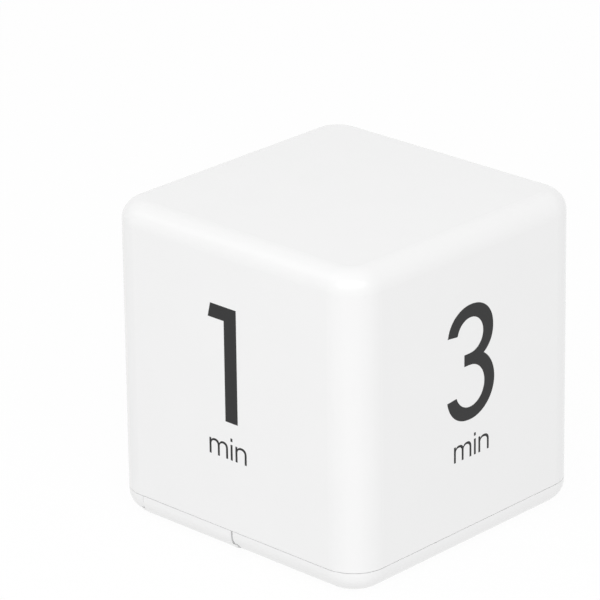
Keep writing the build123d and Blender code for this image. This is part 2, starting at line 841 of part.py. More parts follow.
# Parts soldered on the board
with BuildPart() as chip_blob:
    with BuildSketch(Plane((display_x, blob_y, board_top), x_dir=(1, 0, 0), z_dir=(0, -1, 0))):
        with BuildLine():
            Line((0, blob_height), (0, 0))
            Line((0, 0), (blob_diameter / 2, 0))
            TangentArc((0, blob_height), (blob_diameter / 2, 0), tangent=(1, 0))
        make_face()
    revolve(axis=Axis((display_x, blob_y, board_top), (0, 0, 1)))
chip_blob.part.label = "chip_blob"
export_step(chip_blob.part, "parts/chip_blob.step")

crystal_axis_z = board_top + crystal_diameter / 2
with BuildPart() as crystal:
    with BuildSketch(Plane((crystal_x, blob_y, crystal_axis_z), z_dir=(0, 1, 0))):
        Circle(crystal_diameter / 2)
    extrude(amount=crystal_length)
    chamfer(crystal.edges().filter_by(GeomType.CIRCLE).sort_by(Axis.Y)[-1], length=crystal_edge)
    for side in (-1, 1):
        lead_x = crystal_x + side * crystal_lead_pitch / 2
        with BuildLine() as lead:
            Polyline(
                (lead_x, blob_y + crystal_lead, crystal_axis_z),
                (lead_x, blob_y - crystal_lead_length, crystal_axis_z),
                (lead_x, blob_y - crystal_lead_length, board_top),
            )
        with BuildSketch(Plane(lead.line @ 0, z_dir=lead.line % 0)):
            Circle(crystal_lead / 2)
        sweep(transition=Transition.RIGHT)
crystal.part.label = "crystal"
export_step(crystal.part, "parts/crystal.step")

with BuildPart() as capacitor:
    with BuildSketch(Plane.XY.offset(board_top)):
        with Locations((capacitor_x, capacitor_y)):
            Circle(capacitor_diameter / 2 - capacitor_edge)
    extrude(amount=capacitor_plug)
    with BuildSketch(Plane.XY.offset(board_top + capacitor_plug)):
        with Locations((capacitor_x, capacitor_y)):
            Circle(capacitor_diameter / 2)
    extrude(amount=capacitor_height - capacitor_plug)
    rims = capacitor.edges().filter_by(GeomType.CIRCLE).group_by(Axis.Z)
    fillet(rims[-1], radius=capacitor_edge)
capacitor.part.label = "capacitor"
export_step(capacitor.part, "parts/capacitor.step")

with BuildPart() as chip_parts:
    with BuildSketch(Plane.XY.offset(board_top)):
        with Locations((chip_group_x, blob_y)):
            with GridLocations(chip_part_pitch, chip_part_pitch, chip_columns, chip_rows):
                Rectangle(chip_part_length, chip_part_width)
    extrude(amount=chip_part_height)
chip_parts.part.label = "chip_parts"
export_step(chip_parts.part, "parts/chip_parts.step")

with BuildPart() as transistor:
    with BuildSketch(Plane.XY.offset(board_top)):
        with Locations((transistor_x, transistor_y)):
            Rectangle(transistor_length, transistor_width)
    extrude(amount=transistor_height, taper=transistor_draft_angle)
transistor.part.label = "transistor"
export_step(transistor.part, "parts/transistor.step")


def make_screw(place, bearing_z, drive, head_diameter, head_height, shank_diameter, shank_length, slot_depth):
    """Makes a cross-headed screw from the face under its head; drive is the way it is driven in."""
    with BuildPart() as screw:
        with BuildSketch(Plane((place[0], place[1], bearing_z), z_dir=(0, 0, drive))):
            Circle(shank_diameter / 2)
        extrude(amount=shank_length)
        with BuildSketch(Plane((place[0], place[1], bearing_z), z_dir=(0, 0, -drive))):
            Circle(head_diameter / 2)
        extrude(amount=head_height)
        head_face = bearing_z - drive * head_height
        with BuildSketch(Plane((place[0], place[1], head_face), z_dir=(0, 0, drive))):
            Rectangle(head_diameter * cross_length_share, cross_slot)
            Rectangle(cross_slot, head_diameter * cross_length_share)
        extrude(amount=slot_depth, mode=Mode.SUBTRACT)
    return screw.part


with BuildPart() as cover_screws:
    for place in column_places:
        add(
            make_screw(
                place,
                counterbore_depth,
                1,
                cover_head_diameter,
                cover_head_height,
                cover_screw_diameter,
                cover_screw_length,
                cross_depth,
            )
        )
cover_screws.part.label = "cover_screws"
export_step(cover_screws.part, "parts/cover_screws.step")

with BuildPart() as board_screws:
    for place in post_places:
        add(
            make_screw(
                place,
                board_top,
                -1,
                board_head_diameter,
                board_head_height,
                board_screw_diameter,
                board_screw_length,
                cross_depth,
            )
        )
board_screws.part.label = "board_screws"
export_step(board_screws.part, "parts/board_screws.step")


def make_lead(start_x, height, pad_x):
    """Makes one lead from its solder tab over the battery box and down to its pad on the board."""
    lead_y = back_face - lead_tab_gap - lead_diameter / 2
    with BuildPart() as wire:
        with BuildLine() as route:
            FilletPolyline(
                (start_x, lead_y, height),
                (start_x + tab_width + lead_straight, lead_y, height),
                (pad_x, pad_y, height),
                (pad_x, pad_y, board_top),
                radius=lead_bend,
            )
        with BuildSketch(Plane(route.line @ 0, z_dir=route.line % 0)):
            Circle(lead_diameter / 2)
        sweep()
    expected = pi * (lead_diameter / 2) ** 2 * sum(edge.length for edge in route.edges())
    print("lead, volume against section times length:", round(wire.part.volume / expected, 4))
    return wire.part


red_lead = make_lead(cell_a_x - tab_width / 2, red_lead_z, red_pad_x)
red_lead.label = "red_lead"
export_step(red_lead, "parts/red_lead.step")
black_lead = make_lead(cell_b_x - tab_width / 2, black_lead_z, black_pad_x)
black_lead.label = "black_lead"
export_step(black_lead, "parts/black_lead.step")
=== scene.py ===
import math

import bpy
import numpy as np
from mathutils import Matrix, Vector
from mathutils.geometry import delaunay_2d_cdt


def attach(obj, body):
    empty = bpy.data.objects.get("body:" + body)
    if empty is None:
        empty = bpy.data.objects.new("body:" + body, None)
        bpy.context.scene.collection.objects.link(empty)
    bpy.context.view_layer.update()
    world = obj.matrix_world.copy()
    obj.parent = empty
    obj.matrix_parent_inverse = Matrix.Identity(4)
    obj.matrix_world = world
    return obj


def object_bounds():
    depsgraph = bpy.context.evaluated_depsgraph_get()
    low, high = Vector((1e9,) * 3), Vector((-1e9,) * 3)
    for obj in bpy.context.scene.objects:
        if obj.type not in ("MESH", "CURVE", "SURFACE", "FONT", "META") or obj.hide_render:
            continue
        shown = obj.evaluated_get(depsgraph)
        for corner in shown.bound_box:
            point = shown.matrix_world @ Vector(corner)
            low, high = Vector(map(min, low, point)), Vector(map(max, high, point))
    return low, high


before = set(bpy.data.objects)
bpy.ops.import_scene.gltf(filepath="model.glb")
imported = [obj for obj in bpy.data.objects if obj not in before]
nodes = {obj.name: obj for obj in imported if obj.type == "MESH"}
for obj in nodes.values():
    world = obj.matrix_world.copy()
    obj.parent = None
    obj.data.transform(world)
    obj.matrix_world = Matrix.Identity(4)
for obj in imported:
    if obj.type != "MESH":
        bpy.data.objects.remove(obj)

scene = bpy.context.scene
MM = 0.001
cad_low, cad_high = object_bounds()

# Viewpoint
# The camera stands well back with a long lens, a little above the cube and in front of the upright
# edge between the sides marked 1 and 3. Its sideways steps bring the cube where it stands in the frame.
view_azimuth = math.radians(43.680)
view_elevation = math.radians(22.046)
view_roll = math.radians(-0.810)
view_distance = 766.282 * MM
view_focal_pixels = 4024.677
frame_pixels = 600
cube_centre_pixels = (345.596, 348.801)


def towards(azimuth, elevation):
    """The unit vector from the cube to a place at an azimuth and an elevation in radians."""
    level = math.cos(elevation)
    return Vector((math.sin(azimuth) * level, -math.cos(azimuth) * level, math.sin(elevation)))


towards_viewer = towards(view_azimuth, view_elevation)
level_right = Vector((math.cos(view_azimuth), math.sin(view_azimuth), 0))
level_up = towards_viewer.cross(level_right)
view_right = level_right * math.cos(view_roll) + level_up * math.sin(view_roll)
view_up = level_up * math.cos(view_roll) - level_right * math.sin(view_roll)
step_right = -(cube_centre_pixels[0] - frame_pixels / 2) / view_focal_pixels * view_distance
step_up = (cube_centre_pixels[1] - frame_pixels / 2) / view_focal_pixels * view_distance
cube_middle = Vector((0, 0, (cad_low[2] + cad_high[2]) / 2))
view_place = cube_middle + towards_viewer * view_distance + view_right * step_right + view_up * step_up

camera_data = bpy.data.cameras.new("studio_camera")
camera_data.sensor_width = 36
camera_data.lens = view_focal_pixels / frame_pixels * camera_data.sensor_width
camera_data.clip_start = 0.01
camera_data.clip_end = 20
camera = bpy.data.objects.new("studio_camera", camera_data)
scene.collection.objects.link(camera)
turn = Matrix((view_right, view_up, towards_viewer)).transposed().to_4x4()
camera.matrix_world = Matrix.Translation(view_place) @ turn
scene.camera = camera

# Room light
# An even white room lights the cube from every side, as a light tent does. Seen straight on, in a
# reflection or through the lens, the room is plain white.
room_level = 0.79
scene.view_settings.view_transform = "Standard"
room = bpy.data.worlds.new("light_tent")
room.use_nodes = True
scene.world = room
room_nodes, room_links = room.node_tree.nodes, room.node_tree.links
room_nodes.clear()
room_output = room_nodes.new("ShaderNodeOutputWorld")
room_mix = room_nodes.new("ShaderNodeMixShader")
room_path = room_nodes.new("ShaderNodeLightPath")
room_even = room_nodes.new("ShaderNodeBackground")
room_white = room_nodes.new("ShaderNodeBackground")
for backdrop, level in ((room_even, room_level), (room_white, 1)):
    backdrop.inputs["Color"].default_value = (1, 1, 1, 1)
    backdrop.inputs["Strength"].default_value = level
room_seen = room_path.outputs["Is Camera Ray"]
for ray in ("Is Glossy Ray", "Is Transmission Ray"):
    room_either = room_nodes.new("ShaderNodeMath")
    room_either.operation = "MAXIMUM"
    room_links.new(room_seen, room_either.inputs[0])
    room_links.new(room_path.outputs[ray], room_either.inputs[1])
    room_seen = room_either.outputs[0]
room_links.new(room_seen, room_mix.inputs["Fac"])
room_links.new(room_even.outputs[0], room_mix.inputs[1])
room_links.new(room_white.outputs[0], room_mix.inputs[2])
room_links.new(room_mix.outputs[0], room_output.inputs["Surface"])

# Soft boxes
# A wide soft box in front of the upright edge draws the pale band down it and the white spot on the
# corner. A small one on the left draws the line along the top left edge, a card lifts the foot, and
# a weak box behind the cube lights its far sides without showing in their gloss.
lamp_distance = 0.7


def soft_box(name, azimuth, elevation, width, height, watts, mirrored=True):
    """Hangs a soft box that looks at the cube from an azimuth and an elevation in degrees."""
    direction = towards(math.radians(azimuth), math.radians(elevation))
    data = bpy.data.lights.new(name, "AREA")
    data.shape = "RECTANGLE"
    data.size = width
    data.size_y = height
    data.energy = watts
    lamp = bpy.data.objects.new(name, data)
    scene.collection.objects.link(lamp)
    lamp.location = cube_middle + direction * lamp_distance
    lamp.rotation_mode = "QUATERNION"
    lamp.rotation_quaternion = direction.to_track_quat("Z", "Y")
    lamp.visible_glossy = mirrored


soft_box("soft_box_front", azimuth=43, elevation=38, width=1.2, height=0.4, watts=2.06)
soft_box("soft_box_left", azimuth=-40, elevation=45, width=0.4, height=0.4, watts=0.265)
soft_box("card_front", azimuth=43, elevation=-45, width=0.6, height=0.6, watts=0.348)
soft_box("soft_box_back", azimuth=223, elevation=-12, width=1.2, height=0.4, watts=1.2, mirrored=False)

# Floor
# A smooth white table. From above it shows as white with the cube's soft shadow on it; everything
# else looks through it at the white room, so that the base is lit as if it were held up.
floor_reach = 3.0
floor_drop = 0.1 * MM
floor_whiteness = 0.93
floor_mesh = bpy.data.meshes.new("table_top")
floor_corners = [
    (x * floor_reach, y * floor_reach, -floor_drop) for x, y in ((-1, -1), (1, -1), (1, 1), (-1, 1))
]
floor_mesh.from_pydata(floor_corners, [], [(0, 1, 2, 3)])
floor = bpy.data.objects.new("table_top", floor_mesh)
scene.collection.objects.link(floor)
floor_finish = bpy.data.materials.new("white_table")
floor_finish.use_nodes = True
floor_nodes, floor_links = floor_finish.node_tree.nodes, floor_finish.node_tree.links
floor_nodes.clear()
floor_output = floor_nodes.new("ShaderNodeOutputMaterial")
floor_matt = floor_nodes.new("ShaderNodeBsdfDiffuse")
floor_matt.inputs["Color"].default_value = (0.95, 0.95, 0.95, 1)
floor_glow = floor_nodes.new("ShaderNodeEmission")
floor_glow.inputs["Strength"].default_value = 1
floor_clear = floor_nodes.new("ShaderNodeBsdfTransparent")
floor_white = floor_nodes.new("ShaderNodeMixShader")
floor_white.inputs["Fac"].default_value = floor_whiteness
floor_side_mix = floor_nodes.new("ShaderNodeMixShader")
floor_seen = floor_nodes.new("ShaderNodeMath")
floor_seen.operation = "MULTIPLY"
floor_front = floor_nodes.new("ShaderNodeMath")
floor_front.operation = "SUBTRACT"
floor_front.inputs[0].default_value = 1
floor_path = floor_nodes.new("ShaderNodeLightPath")
floor_shape = floor_nodes.new("ShaderNodeNewGeometry")
floor_links.new(floor_matt.outputs[0], floor_white.inputs[1])
floor_links.new(floor_glow.outputs[0], floor_white.inputs[2])
floor_links.new(floor_shape.outputs["Backfacing"], floor_front.inputs[1])
floor_links.new(floor_path.outputs["Is Camera Ray"], floor_seen.inputs[0])
floor_links.new(floor_front.outputs[0], floor_seen.inputs[1])
floor_links.new(floor_seen.outputs[0], floor_side_mix.inputs["Fac"])
floor_links.new(floor_clear.outputs[0], floor_side_mix.inputs[1])
floor_links.new(floor_white.outputs[0], floor_side_mix.inputs[2])
floor_links.new(floor_side_mix.outputs[0], floor_output.inputs["Surface"])
floor_mesh.materials.append(floor_finish)


# Body shell
# The five-sided upper part is one injection moulding in white ABS with a fine satin texture. Its
# walls lean in a little towards the top so that it leaves the mould.
def skin_of(finish):
    """Returns the shader of a finish."""
    return finish.node_tree.nodes["Principled BSDF"]


def feed(finish, socket, value):
    """Leads a node's output into a socket of the shader of a finish."""
    finish.node_tree.links.new(value, skin_of(finish).inputs[socket])


def vary_tone(finish, noise, colour, share):
    """Lets a noise move the colour of a finish down and up by a share of it."""
    tones = finish.node_tree.nodes.new("ShaderNodeValToRGB")
    tones.color_ramp.elements[0].position = 0.3
    tones.color_ramp.elements[1].position = 0.7
    tones.color_ramp.elements[0].color = [channel * (1 - share) for channel in colour] + [1]
    tones.color_ramp.elements[1].color = [min(channel * (1 + share), 1) for channel in colour] + [1]
    finish.node_tree.links.new(noise.outputs["Fac"], tones.inputs["Fac"])
    feed(finish, "Base Color", tones.outputs["Color"])


def vary_gloss(finish, noise, roughness, share):
    """Lets a noise move the roughness of a finish down and up by a share of it."""
    gloss = finish.node_tree.nodes.new("ShaderNodeMapRange")
    gloss.inputs["To Min"].default_value = roughness * (1 - share)
    gloss.inputs["To Max"].default_value = roughness * (1 + share)
    finish.node_tree.links.new(noise.outputs["Fac"], gloss.inputs["Value"])
    feed(finish, "Roughness", gloss.outputs["Result"])


def moulded_plastic(
    name, colour, roughness, tone=0.012, cloud=90, grain=5200, grain_depth=0.0035, specular=0.5
):
    """Makes a moulded plastic: faint clouds in its tone, a fine even grain and a slightly uneven gloss."""
    finish = bpy.data.materials.new(name)
    finish.use_nodes = True
    tree = finish.node_tree
    place = tree.nodes.new("ShaderNodeTexCoord")
    clouds = tree.nodes.new("ShaderNodeTexNoise")
    clouds.inputs["Scale"].default_value = cloud
    clouds.inputs["Detail"].default_value = 3
    pores = tree.nodes.new("ShaderNodeTexNoise")
    pores.inputs["Scale"].default_value = grain
    pores.inputs["Detail"].default_value = 2
    relief = tree.nodes.new("ShaderNodeBump")
    relief.inputs["Strength"].default_value = 1
    relief.inputs["Distance"].default_value = grain_depth * MM
    tree.links.new(place.outputs["Object"], clouds.inputs["Vector"])
    tree.links.new(place.outputs["Object"], pores.inputs["Vector"])
    tree.links.new(pores.outputs["Fac"], relief.inputs["Height"])
    feed(finish, "Normal", relief.outputs["Normal"])
    vary_tone(finish, clouds, colour, share=tone)
    vary_gloss(finish, clouds, roughness, share=0.06)
    skin_of(finish).inputs["IOR"].default_value = 1.5
    skin_of(finish).inputs["Specular IOR Level"].default_value = specular
    return finish


def dress(node, finish):
    """Gives a piece of the frame its finish in every slot."""
    for slot in nodes[node].material_slots:
        slot.material = finish


white_abs = moulded_plastic("white_abs", (0.866, 0.866, 0.866), 0.2, tone=0.004)
dress("body_shell", white_abs)


# Numbers on the four sides
# 1, 3, 5 and 10, each with "min" under it, are pad printed in one pass of dark grey ink. The ink is
# a film a hundredth of a millimetre thick that follows the leaning wall.
def box_of(node):
    """Returns the lowest and the highest corner of a piece of the frame, in millimetres."""
    corners = np.array(nodes[node].bound_box) / MM
    return corners.min(0).round(4), corners.max(0).round(4)


half_edge = box_of("base_cover")[1][0]
wall_foot = box_of("body_shell")[0][2]
wall_lean = math.tan(math.radians(0.17))
ink_lift = 0.014
ink_film = 0.01
stroke_steps = np.linspace(0, 1, 49)


def stroke(outer, inner):
    """Joins the two edges of a stroke, rows of points from its start to its end, into one outline."""
    return np.vstack([outer, inner[::-1]])


def closed_stroke(outer, inner):
    """Two outlines that make up a stroke that closes round: one for each half of its two edges."""
    half_way = len(outer) // 2
    return [
        stroke(outer[: half_way + 1], inner[: half_way + 1]),
        stroke(outer[half_way:], inner[half_way:]),
    ]


def bar(left, right, bottom, top):
    """A straight stroke: the four corners of an upright box."""
    return np.array([(left, bottom), (right, bottom), (right, top), (left, top)], float)


def bow(centre, radii, start, end, power=2.0):
    """An arc of a superellipse from one angle to another: x and y are the radii times the cosine and
    the sine of the angle, each raised to two over the power with its sign kept."""
    angle = np.radians(start + (end - start) * stroke_steps)
    cosine, sine = np.cos(angle), np.sin(angle)
    x = centre[0] + radii[0] * np.sign(cosine) * np.abs(cosine) ** (2 / power)
    y = centre[1] + radii[1] * np.sign(sine) * np.abs(sine) ** (2 / power)
    return np.stack([x, y], 1)


stem_weight = 0.51
stem_drop = 0.08
arch_rise = 1.25
arch_weight = 0.46
arch_tuck = 0.2


def arch(left, right, foot, rise, power):
    """The upper half of a superellipse from left to right."""
    return bow(((left + right) / 2, foot), ((right - left) / 2, rise), 180, 0, power)


def letters_min(stems, foot, dot_low, dot_high, x_height):
    """The word min: three stems and two arches, a stem with a dot, and a stem with an arch."""
    arch_foot, stem_top = x_height - arch_rise, x_height - stem_drop
    parts = []
    for first, last in ((0, 2), (4, 5)):
        parts.append(bar(stems[first], stems[first] + stem_weight, foot, stem_top))
        for left, right in zip(stems[first:last], stems[first + 1 : last + 1]):
            inner_left, outer_right = left + stem_weight, right + stem_weight
            outer = arch(inner_left - arch_tuck, outer_right, arch_foot, arch_rise, power=2.3)
            inner = arch(inner_left, right, arch_foot, arch_rise - arch_weight, power=2.2)
            parts.append(stroke(outer, inner))
            parts.append(bar(right, outer_right, foot, arch_foot))
    for low, high in ((foot, stem_top), (dot_low, dot_high)):
        parts.append(bar(stems[3], stems[3] + stem_weight, low, high))
    return parts


def holds(outline, points):
    """Tells which points lie in an outline: those whose level ray crosses its edges an odd number of
    times."""
    starts, ends = outline[:, None], np.roll(outline, -1, 0)[:, None]
    spans = (starts[..., 1] > points[:, 1]) != (ends[..., 1] > points[:, 1])
    rise = np.where(spans, ends[..., 1] - starts[..., 1], 1)
    crossing = starts[..., 0] + (points[:, 1] - starts[..., 1]) / rise * (ends[..., 0] - starts[..., 0])
    return (spans & (points[:, 0] < crossing)).sum(0) % 2 == 1


def thicken(sheet, film):
    """Gives a sheet the thickness of a film, behind its face."""
    depth = sheet.modifiers.new("film", "SOLIDIFY")
    depth.thickness = film * MM
    depth.offset = -1


def print_ink(name, outlines, place, finish, film=ink_film):
    """Unites flat outlines into one sheet: a constrained Delaunay mesh of all their edges, less the
    triangles whose middle no outline holds. Lays it on a surface with place(across, up), which returns
    points in millimetres, and gives it the thickness of the ink."""
    points, edges, faces = [], [], []
    for outline in outlines:
        first = len(points)
        points += [Vector(point) for point in outline.tolist()]
        faces.append(list(range(first, first + len(outline))))
    flat, _, triangles, _, _, _ = delaunay_2d_cdt(points, edges, faces, 0, 1e-5)
    flat, triangles = np.array([tuple(point) for point in flat]), np.array(triangles)
    middles = flat[triangles].mean(1)
    triangles = triangles[np.any([holds(np.asarray(outline), middles) for outline in outlines], 0)]
    mesh = bpy.data.meshes.new(name)
    used, corners = np.unique(triangles, return_inverse=True)
    flat, triangles = flat[used], corners.reshape(triangles.shape)
    mesh.from_pydata((place(flat[:, 0], flat[:, 1]) * MM).tolist(), [], triangles.tolist())
    mesh.materials.append(finish)
    piece = bpy.data.objects.new(name, mesh)
    scene.collection.objects.link(piece)
    thicken(piece, film)
    return piece


def on_side(outward, right):
    """Returns the place of a point on a leaning side: across from its middle and up from the table."""
    outward, right = np.array(outward, float), np.array(right, float)

    def place(across, up):
        reach = half_edge - (up - wall_foot) * wall_lean + ink_lift
        return reach[:, None] * outward + across[:, None] * right + up[:, None] * np.array((0.0, 0.0, 1.0))

    return place


def ink_coat(name, colour, roughness):
    """Makes a printed ink: a dense dark film with a faintly uneven tone and edge to edge gloss."""
    return moulded_plastic(
        name, colour, roughness, tone=0.08, cloud=900, grain=9000, grain_depth=0.0012, specular=0.32
    )


number_ink = ink_coat("number_ink", (0.0115, 0.0115, 0.012), 0.42)

digit_foot, digit_top = 26.78, 49.71
flag_weight, roof_weight = 2.83, 2.5


def digit_one(step):
    """The figure 1, moved to the right by a step: a stem, and a flag with a leaning end."""
    flag_foot = digit_top - flag_weight
    return [
        bar(step - 1.13, step + 2.04, digit_foot, digit_top),
        stroke(
            np.array([(step - 4.56, digit_top), (step, digit_top)]),
            np.array([(step - 5.22, flag_foot), (step, flag_foot)]),
        ),
    ]


figure_one = digit_one(0.0)
three_top_centre, three_low_centre = (-0.1, 43.68), (-0.27, 33.23)
three_top = np.vstack(
    [bow(three_top_centre, (6.36, 5.8), 170, 90), bow(three_top_centre, (6.33, 5.8), 90, -57, 2.15)[1:]]
)
three_top_inner = bow((-0.19, 43.36), (3.59, 3.54), 167, -90)
three_low = np.vstack(
    [bow(three_low_centre, (6.84, 6.75), 56, -90), bow(three_low_centre, (6.52, 6.75), -90, -167.5, 2.22)[1:]]
)
three_low_inner = bow(three_low_centre, (4.02, 4.19), 90, -160)
figure_three = [
    stroke(np.vstack([[(-6.55, 44.34)], three_top]), np.vstack([[(-3.84, 44.05)], three_top_inner])),
    stroke(three_low, three_low_inner),
    np.array([(-1.88, 37.46), (2.87, 37.46), (3.5, 38.79), (2.87, 39.8), (-1.88, 39.8)]),
]
five_bowl = bow((0.35, 34.33), (7.35, 7.6), 104, -152, 2.1)
five_bowl_inner = bow((0.2, 34.28), (4.35, 4.85), 118, -149, 2.1)
five_crook, five_heel = (-2.0, 41.08), (-4.95, 38.18)
figure_five = [
    bar(-4.35, 7.55, digit_top - roof_weight, digit_top),
    stroke(np.array([(-4.35, digit_top), five_heel]), np.array([(-1.6, digit_top), five_crook])),
    stroke(np.vstack([[five_crook], five_bowl]), np.vstack([[five_heel], five_bowl_inner])),
]
zero_centre = (7.05, 38.25)
zero_outer = bow(zero_centre, (6.1, 11.6), 90, 450, 2.75)
zero_inner = bow(zero_centre, (3.15, 8.75), 90, 450, 2.75)
figure_ten = digit_one(-6.27) + closed_stroke(zero_outer, zero_inner)
min_below_one = letters_min(
    (-5.45, -3.29, -1.13, 0.06, 1.31, 3.69), foot=19.23, dot_low=23.01, dot_high=23.68, x_height=22.47
)
min_below_three = letters_min(
    (-4.79, -2.61, -0.41, 0.84, 2.1, 4.52), foot=18.9, dot_low=22.71, dot_high=23.34, x_height=22.19
)
centring_step = 0.65
min_below_five = [outline + (centring_step, 0.0) for outline in min_below_one]
for name, outlines, outward, right in (
    ("print_1_min", figure_one + min_below_one, (0, -1, 0), (1, 0, 0)),
    ("print_3_min", figure_three + min_below_three, (1, 0, 0), (0, 1, 0)),
    ("print_5_min", figure_five + min_below_five, (0, 1, 0), (-1, 0, 0)),
    ("print_10_min", figure_ten + min_below_five, (-1, 0, 0), (0, -1, 0)),
):
    number = print_ink(name, outlines, on_side(outward, right), number_ink)
    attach(number, "timer")

# Base cover
# The sixth side is a second ABS moulding from the same white as the shell. Its lip stands inside the
# rim of the shell, four screws pull it up, and it carries all the works.
dress("base_cover", white_abs)

# Battery door
# The door slides out from under the side marked 1 on two rails. It is moulded in the same white ABS,
# with four ridges in the recess for a finger.
dress("battery_door", white_abs)

# Screws
# Zinc plated steel screws with a cross slot. Four long ones go through the base cover into the
# columns of the shell, and four small ones hold the circuit board on its posts.
streak_depth = 0.0006


def drawn_metal(name, colour, roughness, stretch=(1, 1, 1), scale=2600, tone=0.06):
    """Makes a plated or drawn metal: fine streaks, long on the axis whose stretch is small, change its
    tone, its gloss and its surface a little."""
    finish = bpy.data.materials.new(name)
    finish.use_nodes = True
    tree = finish.node_tree
    place = tree.nodes.new("ShaderNodeTexCoord")
    draw_way = tree.nodes.new("ShaderNodeMapping")
    draw_way.inputs["Scale"].default_value = stretch
    streaks = tree.nodes.new("ShaderNodeTexNoise")
    streaks.inputs["Scale"].default_value = scale
    streaks.inputs["Detail"].default_value = 3
    bumps = tree.nodes.new("ShaderNodeBump")
    bumps.inputs["Distance"].default_value = streak_depth * MM
    tree.links.new(place.outputs["Object"], draw_way.inputs["Vector"])
    tree.links.new(draw_way.outputs["Vector"], streaks.inputs["Vector"])
    tree.links.new(streaks.outputs["Fac"], bumps.inputs["Height"])
    feed(finish, "Normal", bumps.outputs["Normal"])
    vary_tone(finish, streaks, colour, share=tone)
    vary_gloss(finish, streaks, roughness, share=0.15)
    skin_of(finish).inputs["Metallic"].default_value = 1
    return finish


zinc_plate = drawn_metal("zinc_plate", (0.56, 0.57, 0.58), 0.3)
dress("cover_screws", zinc_plate)
dress("board_screws", zinc_plate)


# Display lens
# A polished plate of clear acrylic is bonded into the cover in front of the display. A grey border
# printed on its back hides the ledge that it lies on.
def middle_of(node):
    """Returns the middle of a piece of the frame, in millimetres."""
    low, high = box_of(node)
    return (low + high) / 2


lens_low, lens_high = box_of("display_lens")
lens_centre = middle_of("display_lens")[:2]
border_margin = 0.05
border_widths = np.array((2.15, 2.65))
border_outside = lens_high[:2] - lens_low[:2] - 2 * border_margin
border_inside = border_outside - 2 * border_widths
border_corner = 1.45
window_corner = 0.8
border_sink = 0.02
border_level = lens_high[2] - border_sink
clear_acrylic = bpy.data.materials.new("clear_acrylic")
clear_acrylic.use_nodes = True
acrylic, acrylic_tree = skin_of(clear_acrylic), clear_acrylic.node_tree
acrylic.inputs["Base Color"].default_value = (0.975, 0.985, 0.985, 1)
acrylic.inputs["Transmission Weight"].default_value = 1
acrylic.inputs["IOR"].default_value = 1.49
wipe_marks = acrylic_tree.nodes.new("ShaderNodeTexNoise")
wipe_marks.inputs["Scale"].default_value = 140
wipe_marks.inputs["Detail"].default_value = 4
wipe_place = acrylic_tree.nodes.new("ShaderNodeTexCoord")
acrylic_tree.links.new(wipe_place.outputs["Object"], wipe_marks.inputs["Vector"])
vary_gloss(clear_acrylic, wipe_marks, 0.03, share=0.5)
dress("display_lens", clear_acrylic)


def rounded_rectangle(width, length, corner, steps=10):
    """Points round a rectangle: each corner's centre plus the corner radius times the cosine and the
    sine of an angle that runs through its quarter turn."""
    angle = np.radians(np.linspace(0, 90, steps)[None] + np.array([0, 90, 180, 270])[:, None])
    signs = np.array([(1, 1), (-1, 1), (-1, -1), (1, -1)])
    centres = signs * (np.array([width, length]) / 2 - corner)
    arcs = centres[:, None] + corner * np.stack([np.cos(angle), np.sin(angle)], -1)
    return arcs.reshape(-1, 2)


def round_quads(rows, columns):
    """Quads of a grid that closes round: each joins a point, the next one round, and the two below."""
    at = np.arange(rows * columns).reshape(rows, columns)
    after = np.roll(at, -1, 1)
    return np.stack([at[:-1], after[:-1], after[1:], at[1:]], -1).reshape(-1, 4)


def new_piece(name, points, faces, finish, smooth=False):
    """Makes an object from points in millimetres and lists of their numbers."""
    mesh = bpy.data.meshes.new(name)
    mesh.from_pydata((np.asarray(points) * MM).tolist(), [], np.asarray(faces).tolist())
    mesh.polygons.foreach_set("use_smooth", np.full(len(mesh.polygons), smooth))
    mesh.materials.append(finish)
    piece = bpy.data.objects.new(name, mesh)
    scene.collection.objects.link(piece)
    return piece


border_rows = np.stack(
    [rounded_rectangle(*border_outside, border_corner), rounded_rectangle(*border_inside, window_corner)]
)
border_levels = np.full(border_rows.shape[:2] + (1,), border_level)
border_points = np.concatenate([border_rows + lens_centre, border_levels], -1)
border_ink = ink_coat("border_ink", (0.30, 0.31, 0.32), 0.5)
lens_border = new_piece(
    "lens_border", border_points.reshape(-1, 3), round_quads(*border_rows.shape[:2]), border_ink
)
thicken(lens_border, ink_film)
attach(lens_border, "timer")

# Display glass
# Two sheets of glass with liquid crystal between them, over a silvery grey mirror. The switch is at
# OFF, so the four figures and the colon show only as faint shadows.
figure_lift = 0.01
figure_level = box_of("display_glass")[0][2] - figure_lift
figure_height = 10.6
figure_width = 5.0
figure_stroke = 1.15
figure_slit = 0.16
figure_slant = math.tan(math.radians(7))
figure_starts = (-13.0, -7.1, 0.7, 6.6)
colon_place = -0.62
colon_heights = (3.3, 7.3)


def segment(first, last):
    """A segment between two points that stand level or upright: a bar with a pointed end at each."""
    first, last = np.array(first, float), np.array(last, float)
    along = (last - first) / np.linalg.norm(last - first) * figure_stroke / 2
    aside = np.array([-along[1], along[0]])
    after_first, before_last = first + along, last - along
    return np.array(
        [first, after_first - aside, before_last - aside, last, before_last + aside, after_first + aside]
    )


def lean_over(outline):
    """Slants an outline: each point moves to the right by its height times the slant."""
    return np.stack(
        [outline[:, 0] + figure_slant * outline[:, 1], outline[:, 1] - figure_height / 2], 1
    )


edge = figure_stroke / 2
middle = figure_height / 2
columns = (edge, figure_width - edge)
figure_segments = [
    segment((edge + figure_slit, level), (figure_width - edge - figure_slit, level))
    for level in (edge, middle, figure_height - edge)
] + [
    segment((column, low + figure_slit), (column, high - figure_slit))
    for column in columns
    for low, high in ((edge, middle), (middle, figure_height - edge))
]
faint_figures = [
    lean_over(part + np.array([start, 0.0])) for start in figure_starts for part in figure_segments
]
for height in colon_heights:
    faint_figures.append(lean_over(bar(colon_place - edge, colon_place + edge, height - edge, height + edge)))


